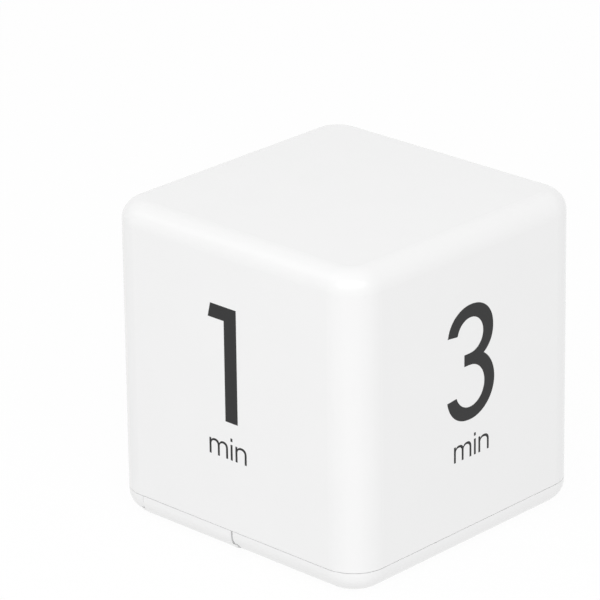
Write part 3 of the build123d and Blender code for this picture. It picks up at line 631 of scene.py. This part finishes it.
def on_glass(across, up):
    """The place of a point on the display: across runs towards the side marked 5, up towards 3."""
    return np.stack([lens_centre[0] + up, lens_centre[1] + across, np.full_like(up, figure_level)], 1)


mirror_grey = moulded_plastic(
    "mirror_grey", (0.47, 0.505, 0.455), 0.16, tone=0.015, cloud=160, grain=16000, grain_depth=0.0006
)
dress("display_glass", mirror_grey)
figure_shadow = ink_coat("figure_shadow", (0.385, 0.415, 0.37), 0.3)
display_figures = print_ink("display_figures", faint_figures, on_glass, figure_shadow)
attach(display_figures, "timer")

# Display frame
# A frame moulded in plain white ABS holds the glass against the cover and keeps the strips upright.
frame_white = moulded_plastic(
    "frame_white", (0.78, 0.78, 0.77), 0.5, tone=0.01, grain=4200, grain_depth=0.006
)
dress("display_frame", frame_white)


# Contact strips
# Two silicone strips join the edge of the glass to the board. Their pink sides hold a core of thin
# black and white layers that carry the current.
def reckon(tree, operation, first, second=None):
    """Adds a Math node; each of its inputs is a number or another node's output."""
    step = tree.nodes.new("ShaderNodeMath")
    step.operation = operation
    for socket, value in zip(step.inputs, (first, second)):
        if isinstance(value, bpy.types.NodeSocket):
            tree.links.new(value, socket)
        elif value is not None:
            socket.default_value = value
    return step.outputs[0]


def distance_of(tree, first, second):
    """Adds the nodes that give how far two values are apart."""
    return reckon(tree, "ABSOLUTE", reckon(tree, "SUBTRACT", first, second))


def axes_of(tree):
    """Adds the nodes that give a point's three coordinates on the object, and returns their outputs."""
    place = tree.nodes.new("ShaderNodeTexCoord")
    parts = tree.nodes.new("ShaderNodeSeparateXYZ")
    tree.links.new(place.outputs["Object"], parts.inputs[0])
    return parts.outputs


def blend_of(tree, share, below, above):
    """Adds a colour mix: the share picks between two colours, each given as numbers or an output."""
    mix = tree.nodes.new("ShaderNodeMix")
    mix.data_type = "RGBA"
    tree.links.new(share, mix.inputs["Factor"])
    for socket, value in ((mix.inputs[6], below), (mix.inputs[7], above)):
        if isinstance(value, bpy.types.NodeSocket):
            tree.links.new(value, socket)
        else:
            socket.default_value = (*value, 1)
    return mix.outputs[2]


def tone_of(finish):
    """Returns the output that now colours a finish."""
    return skin_of(finish).inputs["Base Color"].links[0].from_socket


strip_spread = 8.4
layer_pitch = 0.25
core_reach = 0.3
silicone = moulded_plastic("silicone", (0.72, 0.42, 0.44), 0.55, tone=0.02, grain_depth=0.004)
silicone_tree = silicone.node_tree
strip_x, strip_y, _ = axes_of(silicone_tree)
from_middle = distance_of(silicone_tree, strip_x, lens_centre[0] * MM)
from_core = distance_of(silicone_tree, from_middle, strip_spread * MM)
in_core = reckon(silicone_tree, "LESS_THAN", from_core, core_reach * MM)
layer = reckon(silicone_tree, "FRACT", reckon(silicone_tree, "DIVIDE", strip_y, layer_pitch * MM))
dark_layer = reckon(silicone_tree, "GREATER_THAN", layer, 0.5)
core_colour = blend_of(silicone_tree, dark_layer, (0.7, 0.7, 0.68), (0.03, 0.03, 0.03))
strip_colour = blend_of(silicone_tree, in_core, tone_of(silicone), core_colour)
feed(silicone, "Base Color", strip_colour)
dress("contact_strips", silicone)

# Slide switch
# A black nylon body and lever under a cover of bent, plated steel. OFF and ON are printed on the
# floor of the dish at the two ends of the lever's travel.
dish_floor = 1.3
switch_x, switch_y = middle_of("switch_body")[:2]
word_reach = 3.2
word_places = {"OFF": switch_y - word_reach, "ON": switch_y + word_reach}
letter_height = 1.3
letter_stroke = 0.23
letter_gap = 0.26
letter_widths = {"O": 1.12, "N": 1.0, "F": 0.74}
slope_width = 1.25 * letter_stroke
arm_setback = 0.1
nylon_black = moulded_plastic("nylon_black", (0.022, 0.022, 0.023), 0.42, tone=0.05, grain_depth=0.005)
dress("switch_body", nylon_black)
dress("switch_lever", nylon_black)
cover_steel = drawn_metal("cover_steel", (0.63, 0.63, 0.62), 0.24, stretch=(1, 0.06, 1))
dress("switch_cover", cover_steel)


def letter(sign, left):
    """The strokes of one capital, from its left edge; its middle height is zero."""
    right, top = left + letter_widths[sign], letter_height / 2
    if sign == "O":
        centre = ((left + right) / 2, 0)
        outer = bow(centre, ((right - left) / 2, top), 90, 450, 2.2)
        inner = bow(centre, ((right - left) / 2 - letter_stroke, top - letter_stroke), 90, 450, 2.2)
        return closed_stroke(outer, inner)
    parts = [bar(left, left + letter_stroke, -top, top)]
    if sign == "N":
        slope = [(left, top), (right - slope_width, -top), (right, -top), (left + slope_width, top)]
        parts.append(bar(right - letter_stroke, right, -top, top))
        parts.append(np.array(slope))
    else:
        parts.append(bar(left, right, top - letter_stroke, top))
        parts.append(bar(left, right - arm_setback, -letter_stroke / 2, letter_stroke / 2))
    return parts


for word, word_y in word_places.items():
    word_width = sum(letter_widths[sign] for sign in word) + letter_gap * (len(word) - 1)
    word_strokes, next_left = [], -word_width / 2
    for sign in word:
        word_strokes += letter(sign, next_left)
        next_left += letter_widths[sign] + letter_gap

    def on_dish(across, up):
        """The place of a point on the floor of the dish, read from below with the side marked 5 up."""
        return np.stack([switch_x - across, word_y + up, np.full_like(up, dish_floor - ink_lift)], 1)

    word_print = print_ink(f"switch_word_{word}", word_strokes, on_dish, number_ink)
    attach(word_print, "timer")

# Circuit board
# Glass fibre with copper tracks under green solder resist, and raw yellowish edges. The tracks lift
# the resist a little, white outlines show where parts go, and every lead stands in a tin fillet.
board_top = box_of("circuit_board")[1][2]
track_lift = 0.03
mark_lift = 0.02
mark_width = 0.15
fibre_pitch = 0.5
weave_depth = 0.002
resist_green = moulded_plastic(
    "resist_green", (0.018, 0.16, 0.06), 0.32, tone=0.06, cloud=400, grain_depth=0.002
)
resist_tree = resist_green.node_tree
resist_shape = resist_tree.nodes.new("ShaderNodeNewGeometry")
resist_facing = resist_tree.nodes.new("ShaderNodeSeparateXYZ")
resist_tree.links.new(resist_shape.outputs["Normal"], resist_facing.inputs[0])
on_edge = reckon(resist_tree, "LESS_THAN", reckon(resist_tree, "ABSOLUTE", resist_facing.outputs[2]), 0.5)
edge_colour = blend_of(resist_tree, on_edge, tone_of(resist_green), (0.42, 0.4, 0.2))
fibre_x, fibre_y, _ = axes_of(resist_tree)
weft = reckon(resist_tree, "SINE", reckon(resist_tree, "MULTIPLY", fibre_x, math.tau / (fibre_pitch * MM)))
warp = reckon(resist_tree, "SINE", reckon(resist_tree, "MULTIPLY", fibre_y, math.tau / (fibre_pitch * MM)))
weave = resist_tree.nodes.new("ShaderNodeBump")
weave.inputs["Distance"].default_value = weave_depth * MM
resist_tree.links.new(reckon(resist_tree, "MULTIPLY", weft, warp), weave.inputs["Height"])
resist_tree.links.new(skin_of(resist_green).inputs["Normal"].links[0].from_socket, weave.inputs["Normal"])
feed(resist_green, "Normal", weave.outputs["Normal"])
feed(resist_green, "Base Color", edge_colour)
dress("circuit_board", resist_green)


def on_board(across, up):
    """The place of a point on the parts side of the board."""
    return np.stack([across, up, np.full_like(up, board_top + track_lift)], 1)


def track(width, *corners):
    """The outline of a track: at each corner the two edges stand off along the mean of the normals of
    the runs that meet there, by half the width over the cosine of half the turn."""
    line = np.array(corners, float)
    runs = np.diff(line, axis=0)
    normals = np.stack([-runs[:, 1], runs[:, 0]], 1) / np.linalg.norm(runs, axis=1)[:, None]
    means = np.vstack([normals[:1], normals[:-1] + normals[1:], normals[-1:]])
    means /= np.linalg.norm(means, axis=1)[:, None]
    owners = np.vstack([normals[:1], normals])
    offset = means * (width / 2 / (means * owners).sum(1))[:, None]
    return np.vstack([line - offset, (line + offset)[::-1]])


round_angles = np.linspace(0, math.tau, 20, endpoint=False)


def disc(place, radius):
    """A round pad: points at the radius round its middle."""
    return np.array(place) + radius * np.stack([np.cos(round_angles), np.sin(round_angles)], 1)


signal_width = 0.4
crystal_width = 0.3
drive_width = 0.5
plus_width = 0.8
minus_width = 1.2
lead_pad = 0.95
crystal_pad = 0.5
wire_pad = 1.4
pin_pitch = 2.5
left_can_leads = ((13.157, 11.3), (13.157, 13.5))
right_can_leads = ((16.743, 11.3), (16.743, 13.5))
front_can_leads = ((7.65, -5.793), (9.85, -5.793))
back_can_leads = ((20.05, -15.207), (22.25, -15.207))
crystal_leads = ((25.4, 0.5), (26.2, 0.5))
wire_pads = ((9.6, 18.9), (6.4, 18.9))
switch_pins = tuple((switch_x, switch_y + step * pin_pitch) for step in (-1, 0, 1))
buzzer_pins = ((11.15, -21.8), (18.75, -21.8))
can_leads = left_can_leads + right_can_leads + front_can_leads + back_can_leads
tracks = [
    track(signal_width, left_can_leads[0], (13.157, 6.4)),
    track(signal_width, left_can_leads[1], (11.9, 12.243), (11.9, 5.4)),
    track(signal_width, right_can_leads[0], (16.743, 6.4)),
    track(signal_width, right_can_leads[1], (18.0, 12.243), (18.0, 5.2)),
    track(signal_width, front_can_leads[0], (7.65, -3.4), (11.2, 0.15)),
    track(signal_width, front_can_leads[1], (9.85, -3.9), (12.2, -1.55), (12.2, 0.2)),
    track(signal_width, back_can_leads[0], (20.05, -9.4), (16.6, -5.95), (16.6, -1.2)),
    track(signal_width, back_can_leads[1], (22.25, -8.0), (18.0, -3.75), (18.0, -0.6)),
    track(crystal_width, crystal_leads[0], (24.4, 1.5), (18.6, 1.5)),
    track(crystal_width, crystal_leads[1], (26.2, -1.3), (25.1, -2.4), (19.6, -2.4), (17.4, -0.2)),
    track(plus_width, wire_pads[0], (9.6, 8.4), (11.9, 6.1)),
    track(minus_width, wire_pads[1], (6.4, 9.0), (3.0, 5.6), (3.0, -12.9), (5.0, -14.9), switch_pins[-1]),
    track(
        drive_width, switch_pins[1], (7.9, -18.2), (10.6, -15.5), (10.6, -9.0), (14.0, -5.6), (14.0, -1.0)
    ),
    track(
        drive_width, buzzer_pins[0], (11.15, -17.0), (13.0, -15.15), (13.0, -9.0), (15.2, -6.8), (15.2, -1.2)
    ),
    track(
        drive_width, buzzer_pins[1], (18.75, -18.4), (25.9, -11.25), (25.9, -5.4), (23.6, -3.1), (23.6, -1.0)
    ),
]
for radius, places in (
    (lead_pad, can_leads + switch_pins + buzzer_pins),
    (crystal_pad, crystal_leads),
    (wire_pad, wire_pads),
):
    tracks += [disc(place, radius) for place in places]
track_green = ink_coat("track_green", (0.035, 0.24, 0.09), 0.3)
board_tracks = print_ink("board_tracks", tracks, on_board, track_green, track_lift)
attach(board_tracks, "timer")


def ring(place, radius):
    """A printed ring: an outer circle and an inner one."""
    outer = bow(place, (radius, radius), 0, 360)
    inner = bow(place, (radius - mark_width, radius - mark_width), 0, 360)
    return closed_stroke(outer, inner)


def box_line(left, right, front, back):
    """A printed rectangle of four thin bars."""
    return [
        bar(left, right, front, front + mark_width),
        bar(left, right, back - mark_width, back),
        bar(left, left + mark_width, front, back),
        bar(right - mark_width, right, front, back),
    ]


def on_tracks(across, up):
    """The place of a point of a printed mark, a little over the face of the tracks."""
    return on_board(across, up) + np.array((0.0, 0.0, mark_lift))


chip_mark = ring((lens_centre[0], middle_of("chip_blob")[1]), 5.3)
capacitor_mark = ring(middle_of("capacitor")[:2], 2.9)
chip_parts_mark = box_line(3.3, 8.7, -2.3, 7.3)
crystal_mark = box_line(24.3, 27.3, 1.6, 9.2)
transistor_mark = box_line(20.5, 24.3, -1.7, 0.9)
part_marks = chip_mark + capacitor_mark + chip_parts_mark + crystal_mark + transistor_mark
mark_white = ink_coat("mark_white", (0.72, 0.72, 0.7), 0.5)
board_marks = print_ink("board_marks", part_marks, on_tracks, mark_white)
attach(board_marks, "timer")

fillet_rise = np.linspace(0, 1, 7)
fillet_power = 2.5


def solder_fillets(places, pad_radius, lead_radius, height):
    """Fillets of solder round upright leads: the radius falls from the pad's to the lead's with a power
    of the share of the height that is left, and a point closes each at the foot and the top."""
    radius = lead_radius + (pad_radius - lead_radius) * (1 - fillet_rise) ** fillet_power
    radius = np.concatenate([[0], radius, [0]])
    level = board_top + track_lift + height * np.concatenate([[0], fillet_rise, [1]])
    centres = np.array(places)[:, None, None]
    x = centres[..., 0] + radius[:, None] * np.cos(round_angles)
    y = centres[..., 1] + radius[:, None] * np.sin(round_angles)
    z = np.broadcast_to(level[:, None], x.shape)
    quads = round_quads(len(radius), len(round_angles))
    count = len(radius) * len(round_angles)
    faces = (quads[None] + count * np.arange(len(places))[:, None, None]).reshape(-1, 4)
    return np.stack([x, y, z], -1).reshape(-1, 3), faces


fillet_sets = (
    solder_fillets(can_leads, pad_radius=0.8, lead_radius=0.27, height=0.7),
    solder_fillets(crystal_leads, pad_radius=0.42, lead_radius=0.19, height=0.35),
    solder_fillets(wire_pads, pad_radius=1.2, lead_radius=0.57, height=0.7),
    solder_fillets(switch_pins + buzzer_pins, pad_radius=0.8, lead_radius=0.25, height=0.55),
)
fillet_counts = np.cumsum([0] + [len(points) for points, _ in fillet_sets[:-1]])
fillet_points = np.vstack([points for points, _ in fillet_sets])
fillet_faces = np.vstack([faces + count for (_, faces), count in zip(fillet_sets, fillet_counts)])
tin_solder = drawn_metal("tin_solder", (0.62, 0.62, 0.61), 0.22, scale=1200)
solder_joints = new_piece("solder_joints", fillet_points, fillet_faces, tin_solder, smooth=True)
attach(solder_joints, "timer")

# Chip and small parts
# The chip lies under a drop of black epoxy, which sets with low waves in its gloss. Beside it stand
# eight chip parts with tinned ends and a transistor in moulded epoxy.
end_cap = 0.35
part_length = 1.6
parts_low, parts_high = box_of("chip_parts")
part_pitch = parts_high[0] - parts_low[0] - part_length
epoxy_black = moulded_plastic(
    "epoxy_black", (0.014, 0.014, 0.014), 0.26, tone=0.1, grain=420, grain_depth=0.03
)
dress("chip_blob", epoxy_black)
dress("transistor", moulded_plastic("resin_black", (0.02, 0.02, 0.021), 0.5, tone=0.05, grain_depth=0.006))
chip_dark = moulded_plastic("chip_dark", (0.03, 0.026, 0.022), 0.4, tone=0.1, cloud=1500)
chip_tree = chip_dark.node_tree
part_x = axes_of(chip_tree)[0]
past_first = reckon(chip_tree, "SUBTRACT", part_x, parts_low[0] * MM)
in_pitch = reckon(chip_tree, "MODULO", past_first, part_pitch * MM)
from_part = distance_of(chip_tree, in_pitch, part_length / 2 * MM)
at_cap = reckon(chip_tree, "GREATER_THAN", from_part, (part_length / 2 - end_cap) * MM)
chip_colour = blend_of(chip_tree, at_cap, tone_of(chip_dark), (0.62, 0.62, 0.6))
feed(chip_dark, "Base Color", chip_colour)
feed(chip_dark, "Metallic", at_cap)
dress("chip_parts", chip_dark)

# Crystal, capacitor and buzzer
# The crystal lies in a drawn steel can. The capacitor is an aluminium can in a black sleeve with a
# pale stripe at its negative side, and the buzzer is moulded in black plastic.
can_low, can_high = box_of("capacitor")
can_centre = middle_of("capacitor")[:2]
can_top = can_high[2]
lid_film = 0.003
stripe_lift = 0.01
stripe_radius = (can_high[0] - can_low[0]) / 2 + stripe_lift
stripe_width = 1.6
stripe_step = 0.2
stripe_foot, stripe_top = 10.3, 15.6
dress("crystal", drawn_metal("crystal_steel", (0.66, 0.66, 0.65), 0.25, stretch=(1, 0.08, 1)))
dress("capacitor", moulded_plastic("sleeve_black", (0.02, 0.02, 0.022), 0.35, tone=0.05, grain_depth=0.002))
dress("buzzer", moulded_plastic("buzzer_black", (0.024, 0.024, 0.025), 0.48, tone=0.05, grain_depth=0.006))
lid_radii = np.array([0.0, 0.25, 1.35, 1.6, 1.9])
lid_levels = can_top + np.array([0.004, 0.012, 0.012, 0.02, 0.004])
lid_angles = np.linspace(0, math.tau, 40, endpoint=False)
lid_points = np.stack(
    [
        can_centre[0] + lid_radii[::-1, None] * np.cos(lid_angles),
        can_centre[1] + lid_radii[::-1, None] * np.sin(lid_angles),
        np.broadcast_to(lid_levels[::-1, None], (len(lid_radii), len(lid_angles))),
    ],
    -1,
)
lid_aluminium = drawn_metal("lid_aluminium", (0.72, 0.72, 0.73), 0.3, scale=1600)
capacitor_lid = new_piece(
    "capacitor_lid", lid_points.reshape(-1, 3), round_quads(*lid_points.shape[:2]), lid_aluminium, smooth=True
)
thicken(capacitor_lid, lid_film)
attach(capacitor_lid, "timer")


def on_can(across, up):
    """The place of a point on the sleeve: across is turned into an angle round the can."""
    angle = across / stripe_radius
    x = can_centre[0] + stripe_radius * np.sin(angle)
    y = can_centre[1] - stripe_radius * np.cos(angle)
    return np.stack([x, y, up], 1)


stripe_grey = ink_coat("stripe_grey", (0.5, 0.5, 0.5), 0.4)
stripe_bars = [
    bar(left, left + stripe_step, stripe_foot, stripe_top)
    for left in np.arange(-stripe_width / 2, stripe_width / 2, stripe_step)
]
capacitor_stripe = print_ink("capacitor_stripe", stripe_bars, on_can, stripe_grey)
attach(capacitor_stripe, "timer")

# Tilt switches
# Four drawn steel cans lean towards the four sides. In each a plated ball rolls onto the two leads of
# a black plug or away from them, which tells the timer which side is up. The leads begin past a plane
# that leans at 45 degrees through the foot of each plug.
tin_lead = (0.62, 0.62, 0.61)
plug_foot_z = 11.268
side_foot = 2.5
front_foot_y = -6.5
back_foot_y = -14.5
side_plugs_start = 5.0
front_plug_middle = -6.0
front_plug_reach = 5.0
back_plug_end = -11.0
can_steel = drawn_metal("can_steel", (0.64, 0.64, 0.63), 0.26, scale=1800)
ball_plate = drawn_metal("ball_plate", (0.72, 0.72, 0.72), 0.08, scale=900, tone=0.02)
for way in ("left", "right", "front", "back"):
    dress(f"tilt_can_{way}", can_steel)
    dress(f"tilt_ball_{way}", ball_plate)
plug_black = moulded_plastic("plug_black", (0.025, 0.024, 0.023), 0.45, tone=0.06, grain_depth=0.005)
plug_tree = plug_black.node_tree
plug_x, plug_y, plug_z = axes_of(plug_tree)
above_foot = reckon(plug_tree, "SUBTRACT", plug_z, plug_foot_z * MM)
aside = distance_of(plug_tree, plug_x, lens_centre[0] * MM)
side_reach = reckon(plug_tree, "ADD", reckon(plug_tree, "SUBTRACT", aside, side_foot * MM), above_foot)
front_reach = reckon(
    plug_tree, "SUBTRACT", above_foot, reckon(plug_tree, "SUBTRACT", plug_y, front_foot_y * MM)
)
back_reach = reckon(plug_tree, "ADD", above_foot, reckon(plug_tree, "SUBTRACT", plug_y, back_foot_y * MM))
beside_front_plug = distance_of(plug_tree, plug_y, front_plug_middle * MM)
is_lead = 0.0
for reach, in_row in (
    (side_reach, reckon(plug_tree, "GREATER_THAN", plug_y, side_plugs_start * MM)),
    (front_reach, reckon(plug_tree, "LESS_THAN", beside_front_plug, front_plug_reach * MM)),
    (back_reach, reckon(plug_tree, "LESS_THAN", plug_y, back_plug_end * MM)),
):
    past_plane = reckon(plug_tree, "LESS_THAN", reach, 0.0)
    in_lead = reckon(plug_tree, "MULTIPLY", past_plane, in_row)
    is_lead = reckon(plug_tree, "MAXIMUM", is_lead, in_lead)
feed(plug_black, "Base Color", blend_of(plug_tree, is_lead, tone_of(plug_black), tin_lead))
feed(plug_black, "Metallic", is_lead)
dress("tilt_plugs", plug_black)

# Cells
# Two AAA cells lie side by side, head to tail, in a plain sleeve with a lighter band at the positive
# end. The steel of the can shows at both ends, and a plus and a minus are printed on the sleeve.
cell_low, cell_high = box_of("cell_left")
cell_radius = (cell_high[0] - cell_low[0]) / 2
cell_height = middle_of("cell_left")[2]
cell_tip = 0.9
cell_body = cell_high[1] - cell_low[1] - cell_tip
cell_rim = 0.45
band_share = 0.74
band_metal = 0.85
plus_share = 0.86
minus_share = 0.12
sign_length = 2.6
sign_width = 0.55
sign_step = 0.2
sleeve_blue = (0.03, 0.075, 0.16)
sleeve_silver = (0.5, 0.51, 0.52)
can_bare = (0.66, 0.65, 0.63)
sign_ink = ink_coat("sign_ink", (0.75, 0.75, 0.74), 0.4)


def sleeve_finish(name, flat_end, way):
    """Makes the finish of a cell from its flat end along one way of the Y axis: bare steel, the dark
    sleeve, its lighter band, and bare steel again."""
    finish = moulded_plastic(name, sleeve_blue, 0.28, tone=0.03, cloud=300, grain_depth=0.001)
    tree = finish.node_tree
    along = reckon(tree, "MULTIPLY", reckon(tree, "SUBTRACT", axes_of(tree)[1], flat_end * MM), way / MM)
    in_band = reckon(tree, "GREATER_THAN", along, band_share * cell_body)
    bare_low = reckon(tree, "LESS_THAN", along, cell_rim)
    bare_high = reckon(tree, "GREATER_THAN", along, cell_body - cell_rim)
    bare = reckon(tree, "MAXIMUM", bare_low, bare_high)
    sleeve = blend_of(tree, in_band, tone_of(finish), sleeve_silver)
    metal = reckon(tree, "MAXIMUM", bare, reckon(tree, "MULTIPLY", in_band, band_metal))
    feed(finish, "Base Color", blend_of(tree, bare, sleeve, can_bare))
    feed(finish, "Metallic", metal)
    return finish


for side, way in (("left", 1), ("right", -1)):
    side_low, side_high = box_of(f"cell_{side}")
    centre_x = middle_of(f"cell_{side}")[0]
    flat_end = side_low[1] if way > 0 else side_high[1]
    dress(f"cell_{side}", sleeve_finish(f"sleeve_{side}", flat_end, way))

    def on_cell(across, up):
        """The place of a point on the underside of a cell: across is turned into an angle round it and
        up runs from the flat end to the tip."""
        angle = across / cell_radius
        x = centre_x - (cell_radius + ink_lift) * np.sin(angle) * way
        z = cell_height - (cell_radius + ink_lift) * np.cos(angle)
        return np.stack([x, flat_end + way * up, z], 1)

    plus_up, minus_up = plus_share * cell_body, minus_share * cell_body
    signs = [
        bar(left, left + sign_step, up - sign_width / 2, up + sign_width / 2)
        for left in np.arange(-sign_length / 2, sign_length / 2 - sign_step / 2, sign_step)
        for up in (plus_up, minus_up)
    ]
    signs.append(bar(-sign_width / 2, sign_width / 2, plus_up - sign_length / 2, plus_up + sign_length / 2))
    cell_signs = print_ink(f"cell_signs_{side}", signs, on_cell, sign_ink)
    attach(cell_signs, "timer")

# Contacts
# Pressed from nickel plated spring steel. One plate with a coiled spring bridges both cells at the
# door's end. Two with solder tabs, one of them with a spring too, stand at the other end.
nickel_plate = drawn_metal("nickel_plate", (0.69, 0.67, 0.62), 0.24, stretch=(1, 1, 0.08), scale=2200)
for contact in ("positive_contact", "negative_contact", "bridge_contact"):
    dress(contact, nickel_plate)

# Battery leads
# Two PVC insulated wires, red for plus and black for minus, run over the battery box to the board.
# Their stripped and tinned ends go down into the solder.
stripped_length = 1.0
stripped_top = board_top + stripped_length
for lead, lead_colour in (("red_lead", (0.42, 0.012, 0.012)), ("black_lead", (0.018, 0.018, 0.018))):
    pvc = moulded_plastic(f"{lead}_pvc", lead_colour, 0.36, tone=0.04, grain=3000, grain_depth=0.003)
    pvc_tree = pvc.node_tree
    stripped = reckon(pvc_tree, "LESS_THAN", axes_of(pvc_tree)[2], stripped_top * MM)
    feed(pvc, "Base Color", blend_of(pvc_tree, stripped, tone_of(pvc), tin_lead))
    feed(pvc, "Metallic", stripped)
    dress(lead, pvc)
